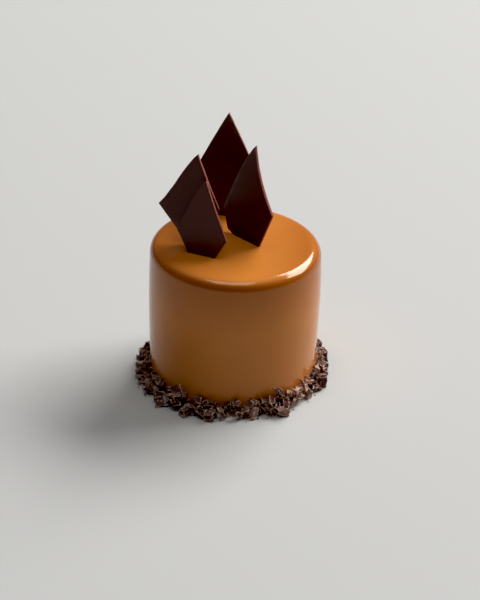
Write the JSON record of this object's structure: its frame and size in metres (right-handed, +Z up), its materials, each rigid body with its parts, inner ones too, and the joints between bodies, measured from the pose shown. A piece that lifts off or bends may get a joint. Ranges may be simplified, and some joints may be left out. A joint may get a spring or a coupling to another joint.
{
  "type": "hazelnut praline cake",
  "caption": "Individual round praline cake with a glossy caramel glaze, a collar of cocoa nibs round its foot and upright dark chocolate shards in its top.",
  "frame": {"origin": "centre of the flat round underside of the cake, on the surface it stands on", "axes": "+Z up through the cake, -Y towards the side seen in the picture, +X to the right in that view"},
  "size_m": [0.0745, 0.0756, 0.0983],
  "materials": {
    "caramel_glaze": "smooth glossy caramel glaze",
    "dark_chocolate": "satin dark chocolate",
    "cocoa_nibs": "dry broken cocoa nibs"
  },
  "bodies": {
    "root": {"cake": "caramel_glaze", "shard_back": "dark_chocolate", "shard_right": "dark_chocolate", "shard_left": "dark_chocolate", "shard_front": "dark_chocolate"}
  },
  "joints": []
}
